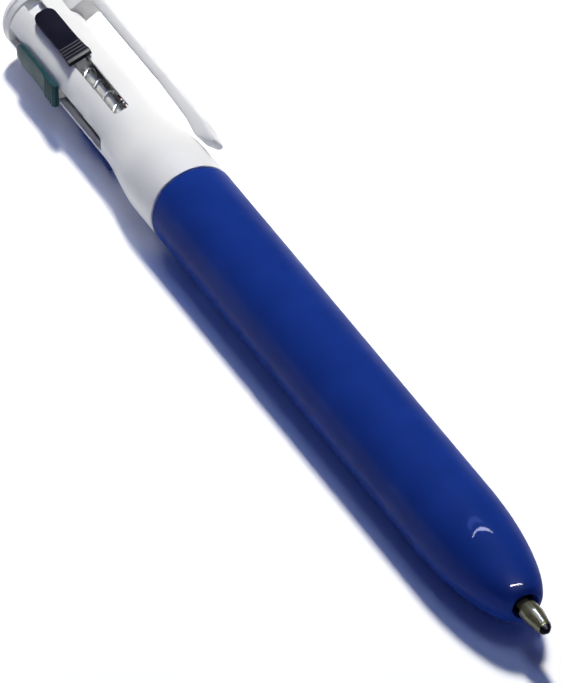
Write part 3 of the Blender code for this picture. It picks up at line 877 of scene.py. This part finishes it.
def make_carriage(colour):
    """What carries a tab: the fin through the slot, the shoe that keeps it in, and the refill's stem."""
    shift = advance(colour)
    rear, front = FIN_REAR + shift, CARRIAGE_FRONT + shift
    plate = (FIN_HALF_WIDTH, FIN_INNER, TAB_UNDER + FIN_IN_TAB)
    carriage = draw_out("carriage_" + colour, [(rear, *plate), (front, *plate)])
    break_edges(carriage, CARRIAGE_EDGE, segments=2)
    box = (SHOE_HALF_WIDTH, SHOE_INNER, SHOE_OUTER)
    shoe = draw_out("shoe", [(rear + SEAT_GAP, *box), (front - SEAT_GAP, *box)])
    break_edges(shoe, CARRIAGE_EDGE, segments=2)
    combine(carriage, shoe, "UNION")
    combine(carriage, barbed_stem(front, STEM_FRONT + shift), "UNION")
    lay(carriage, pen_matrix(angle_of("slider_" + colour)))
    dress(carriage, mechanism_natural, "mechanism_natural", "slider_" + colour, "slider_" + colour)


def spring_route(rear, front):
    """Points of a coil from its rear end to its front end, with close turns at both ends."""
    turns = SPRING_COILS + 2 * SPRING_END_COILS
    stretch = front - rear - 2 * SPRING_WIRE - 2 * SPRING_END_COILS * SPRING_END_PITCH
    points = []
    count = round(turns * SPRING_POINTS)
    for step in range(count + 1):
        done = turns * step / count
        rise = SPRING_END_PITCH * min(done, SPRING_END_COILS)
        rise += stretch * min(max((done - SPRING_END_COILS) / SPRING_COILS, 0), 1)
        rise += SPRING_END_PITCH * max(done - SPRING_END_COILS - SPRING_COILS, 0)
        a = math.tau * done
        points.append((rear + SPRING_WIRE + rise, SPRING_RADIUS * math.cos(a), SPRING_RADIUS * math.sin(a)))
    return points


def make_spring(colour):
    """The return spring round a stem, coiled from the front of its slider's tab to the disc."""
    rear = TAB_FRONT + advance(colour)
    wire = bpy.data.curves.new("return_spring_" + colour, "CURVE")
    wire.dimensions = "3D"
    wire.bevel_depth = SPRING_WIRE
    wire.bevel_resolution = 2
    wire.use_fill_caps = True
    spline = wire.splines.new("POLY")
    route = spring_route(rear, SPRING_FRONT)
    spline.points.add(len(route) - 1)
    for point, (x, y, z) in zip(spline.points, route):
        point.co = (x, y, z + STEM_PLACE, 1)
    spring = bpy.data.objects.new("return_spring_" + colour, wire)
    bpy.context.scene.collection.objects.link(spring)
    bpy.ops.object.select_all(action="DESELECT")
    bpy.context.view_layer.objects.active = spring
    spring.select_set(True)
    bpy.ops.object.convert(target="MESH")
    bpy.ops.object.mode_set(mode="EDIT")
    put_down()
    lay(spring, pen_matrix(angle_of("slider_" + colour)))
    node = "spring_" + colour
    if colour == PRESSED:
        dress(spring, spring_steel, "spring_steel", None, node)
        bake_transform(spring)
        return
    dress(spring, spring_steel, "spring_steel", "casing", node)
    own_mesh(spring)


def stem_drill(angle):
    """A drill for one stem's hole in the disc, with its countersink at the rear."""
    profile = [
        (PLATE_REAR - DRILL_PAST, STEM_HOLE + DRILL_PAST + COUNTERSINK),
        (PLATE_REAR + COUNTERSINK, STEM_HOLE),
        (PLATE_FRONT + DRILL_PAST, STEM_HOLE),
    ]
    drill = turn("stem_drill", profile, sides=STEM_SIDES, closed=False)
    drill.data.transform(Matrix.Translation((0, 0, STEM_PLACE)))
    drill.data.transform(Matrix.Rotation(-angle, 4, "X"))
    return drill


def make_guide_plate():
    """The disc that the springs sit on, with a countersunk hole for each stem."""
    edge = PLATE_EDGE
    profile = [(PLATE_FRONT, CORE_PIN + SEAT_GAP)]
    profile += corner((PLATE_FRONT - edge, PLATE_RADIUS - edge), edge, 0, 90)
    profile += corner((PLATE_REAR + edge, PLATE_RADIUS - edge), edge, 90, 180)
    profile += [(PLATE_REAR, CORE_PIN + SEAT_GAP)]
    plate = turn("guide_disc", profile)
    for colour in COLOURS:
        combine(plate, stem_drill(angle_of("slider_" + colour)), "DIFFERENCE")
    lay(plate, pen_matrix())
    dress(plate, mechanism_natural, "mechanism_natural", "casing", "guide_plate")


def make_latch_core():
    """The post between disc and plug, with the collar that a pressed slider catches on."""
    edge = CORE_EDGE
    rear = PLUG_NOSE - PLUG_SOCKET + SEAT_GAP
    collar_front = TAB_FRONT - 2 * SEAT_GAP
    collar_rear = collar_front - CORE_COLLAR_LENGTH
    profile = [
        (PLATE_FRONT, CORE_PIN - edge),
        (PLATE_FRONT - edge, CORE_PIN),
        (SPRING_FRONT, CORE_PIN),
        (SPRING_FRONT, CORE_RADIUS - edge),
        (SPRING_FRONT - edge, CORE_RADIUS),
        (collar_front, CORE_RADIUS),
        (collar_front, CORE_COLLAR - edge),
        (collar_front - edge, CORE_COLLAR),
        (collar_rear + CORE_COLLAR_SLOPE, CORE_COLLAR),
        (collar_rear, CORE_RADIUS),
        (rear + edge, CORE_RADIUS),
        (rear, CORE_RADIUS - edge),
    ]
    core = turn("latch_post", profile, sides=CORE_SIDES, closed=False)
    lay(core, pen_matrix())
    dress(core, mechanism_natural, "mechanism_natural", "casing", "latch_core")


# Refills


def seat_refill_piece(piece, colour, finish, slot, node):
    """Lay a refill piece in place. It rides on its own body where the frame has its lean joint, or else it
    is baked in place with no body.
    """
    lay(piece, refill_matrix(colour))
    if colour + "_lean" in [j["name"] for j in frame["joints"]]:
        dress(piece, finish, slot, "refill_" + colour, node)
        return
    dress(piece, finish, slot, None, node)
    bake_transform(piece)


def make_clear_tube(colour, length):
    """The milky tube, open at its rear and drawn in a little over the tip's tail."""
    edge = REFILL_ROUND
    profile = corner((edge, TUBE_RADIUS - edge), edge, 180, 90)
    bands = [length * step / TUBE_BANDS for step in range(1, TUBE_BANDS)]
    profile += [(place, TUBE_RADIUS) for place in bands]
    profile += [(length - TIP_TAIL / 2, TUBE_RADIUS), (length - TIP_TAIL / 3, TUBE_RADIUS - TUBE_DRAWN_IN)]
    profile += corner((length - edge, TUBE_RADIUS - edge), edge, 90, 0)
    profile += [(length, TUBE_BORE)]
    profile += [(place, TUBE_BORE) for place in reversed(bands)]
    profile += [(0, TUBE_BORE)]
    tube = turn("clear_tube_" + colour, profile, sides=TUBE_SIDES)
    seat_refill_piece(tube, colour, refill_plastic, "refill_plastic", "refill_tube_" + colour)


def make_ink_column(colour, length):
    """The ink, with a hollow meniscus at its rear end."""
    front = length - TIP_TAIL - SEAT_GAP
    profile = [
        (INK_REAR + MENISCUS_DEPTH, MENISCUS_MIDDLE),
        (INK_REAR + MENISCUS_BEND, INK_RADIUS * MENISCUS_BEND_SHARE),
        (INK_REAR, INK_RADIUS),
    ]
    for step in range(1, TUBE_BANDS + 1):
        profile.append((INK_REAR + (front - INK_REAR) * step / TUBE_BANDS, INK_RADIUS))
    column = turn("ink_column_" + colour, profile, sides=TUBE_SIDES, closed=False)
    seat_refill_piece(column, colour, ink_finish[colour], "ink_" + colour, "ink_" + colour)


def cone_radius(share):
    """The radius of the tip's cone: straight from its shoulder at 0, and rounded towards its end at 1."""
    straight = TIP_RADIUS - TIP_TAPER * share / TIP_STRAIGHT
    left_over = TIP_RADIUS - TIP_TAPER / TIP_STRAIGHT - TIP_END_RADIUS
    bend = max(share - TIP_STRAIGHT, 0) / (1 - TIP_STRAIGHT)
    return straight - left_over * bend**2


def make_writing_tip(colour, length):
    """The metal tip: its tail in the tube, a narrow neck, a body and a cone with the ball's socket."""
    edge = REFILL_ROUND
    tail = length - TIP_TAIL
    base = length + SEAT_GAP
    body = base + TIP_NECK_LENGTH
    cone = base + TIP_BASE
    end = cone + CONE_LENGTH
    socket = BALL_RADIUS - edge
    profile = [
        (tail, TIP_TAIL_RADIUS - edge),
        (tail + edge, TIP_TAIL_RADIUS),
        (base, TIP_TAIL_RADIUS),
        (base, TIP_NECK_RADIUS - edge),
        (base + edge, TIP_NECK_RADIUS),
        (body, TIP_NECK_RADIUS),
    ]
    profile += corner((body + edge, TIP_RADIUS - edge), edge, 180, 90)
    for step in range(CONE_STEPS + 1):
        share = step / CONE_STEPS
        profile.append((cone + CONE_LENGTH * share, cone_radius(share)))
    profile += [
        (end + edge / 2, TIP_END_RADIUS - edge / 2),
        (end, socket),
        (end - TIP_SOCKET_DEPTH, socket),
    ]
    metal = turn("writing_tip_" + colour, profile, sides=TIP_SIDES, closed=False)
    seat_refill_piece(metal, colour, tip_metal, "tip_metal", "refill_tip_" + colour)


def make_wet_ball(colour, length):
    """The ball, with the film of ink that it spreads over the end of the cone."""
    end = length + SEAT_GAP + TIP_BASE + CONE_LENGTH
    centre = end + BALL_PROUD - BALL_RADIUS
    profile = [(centre - BALL_RADIUS * BALL_BACK, BALL_RADIUS * BALL_BACK_SHARE)]
    for step in range(FILM_STEPS + 1):
        share = 1 - FILM_LENGTH / CONE_LENGTH * (1 - step / FILM_STEPS)
        thickness = FILM_THICKNESS if step else -FILM_THICKNESS
        profile.append((end - CONE_LENGTH * (1 - share), cone_radius(share) + thickness))
    start = math.asin((end + BALL_BARE - centre) / BALL_RADIUS)
    for step in range(BALL_STEPS):
        a = start + (math.pi / 2 - start) * step / BALL_STEPS
        profile.append((centre + BALL_RADIUS * math.sin(a), BALL_RADIUS * math.cos(a)))
    ball = turn("wet_ball_" + colour, profile, sides=BALL_SIDES, closed=False)
    seat_refill_piece(ball, colour, ball_carbide, "ball_carbide", "ball_" + colour)


def make_refill(colour):
    """A whole refill, as long as the frame's tube."""
    rear, front = tube_ends(colour)
    length = (front - rear).length
    make_clear_tube(colour, length)
    make_ink_column(colour, length)
    make_writing_tip(colour, length)
    make_wet_ball(colour, length)


# Table, light and camera


def make_table():
    bpy.ops.object.select_all(action="DESELECT")
    bpy.ops.mesh.primitive_plane_add(size=TABLE_SIZE)
    table = bpy.context.object
    table.name = "table_top"
    table.data.materials.append(table_top())


def lamp(name, place, size, power, tint=(1, 1, 1), slant=0.0, lights=True, mirrored=True):
    """An area lamp square to the pen's length, which lights it, is mirrored in its gloss, or both."""
    data = bpy.data.lights.new(name, "AREA")
    data.shape = "RECTANGLE"
    data.size, data.size_y = size
    data.energy = power
    data.color = tint
    light = bpy.data.objects.new(name, data)
    bpy.context.scene.collection.objects.link(light)
    light.location = place
    aim = Vector((0, place[1], AXIS_HEIGHT)) - Vector(place)
    light.rotation_euler = (aim.to_track_quat("-Z", "Y") @ Quaternion((0, 0, 1), slant)).to_euler()
    light.visible_diffuse = lights
    light.visible_glossy = mirrored


def make_lights():
    """A key lamp and a soft sky light the pen. The other lamps are only mirrored in its gloss."""
    lamp("key_behind", (-0.62, 0.245, 1.0), (0.16, 0.2), power=16.2, tint=KEY_TINT, mirrored=False)
    lamp("sky_overhead", (0.02, 0, 1.2), (0.3, 0.3), power=1.7, tint=SKY_TINT, mirrored=False)
    lamp("tube_behind", (-0.4805, -0.175, 1.0), (0.45, 0.012), power=2.3, tint=GLINT_TINT, lights=False)
    tilted = {"slant": BEHIND_SLANT, "lights": False}
    lamp("panel_behind", (-0.4965, 0.25, 1.0), (0.40, 0.03), power=5.0, tint=GLINT_TINT, **tilted)
    lamp("haze_behind", (-0.556, 0.03, 1.0), (0.66, 0.04), power=1.5, tint=HAZE_TINT, **tilted)
    lamp("tube_in_front", (0.43, -0.026, 1.0), (0.90, 0.085), power=62.0, slant=FRONT_SLANT, lights=False)
    world = bpy.data.worlds.new("studio")
    bpy.context.scene.world = world
    world.use_nodes = True
    background = world.node_tree.nodes["Background"]
    background.inputs["Color"].default_value = (*WORLD_TINT, 1)
    background.inputs["Strength"].default_value = WORLD_STRENGTH


def make_camera():
    """The photo's camera, which looks at the pen from above and in front of its tip."""
    back = Vector(
        (
            math.sin(CAMERA_AZIMUTH) * math.cos(CAMERA_ELEVATION),
            -math.cos(CAMERA_AZIMUTH) * math.cos(CAMERA_ELEVATION),
            math.sin(CAMERA_ELEVATION),
        )
    )
    level = Vector((0, 0, 1)).cross(back).normalized()
    upright = back.cross(level)
    right = level * math.cos(CAMERA_ROLL) + upright * math.sin(CAMERA_ROLL)
    up = back.cross(right)
    data = bpy.data.cameras.new("photo_camera")
    data.sensor_width = SENSOR
    data.lens = PIXELS_PER_METRE * CAMERA_DISTANCE * SENSOR / FRAME_HEIGHT
    data.clip_start, data.clip_end = CAMERA_CLIP
    camera = bpy.data.objects.new("photo_camera", data)
    bpy.context.scene.collection.objects.link(camera)
    place = Vector((0, 0, AXIS_HEIGHT)) + right * AIM_RIGHT + up * AIM_UP + back * CAMERA_DISTANCE
    turned = Matrix((right, up, back)).transposed().to_4x4()
    camera.matrix_world = Matrix.Translation(place) @ turned
    bpy.context.scene.camera = camera


make_camera()
make_table()
make_lights()
make_lower_barrel()
make_upper_barrel()
make_end_plug()
make_pocket_clip()
make_guide_plate()
make_latch_core()
for colour in COLOURS:
    make_thumb_tab(colour)
    make_carriage(colour)
    make_spring(colour)
    make_refill(colour)

bpy.context.scene.view_settings.view_transform = "Standard"
bpy.context.view_layer.update()
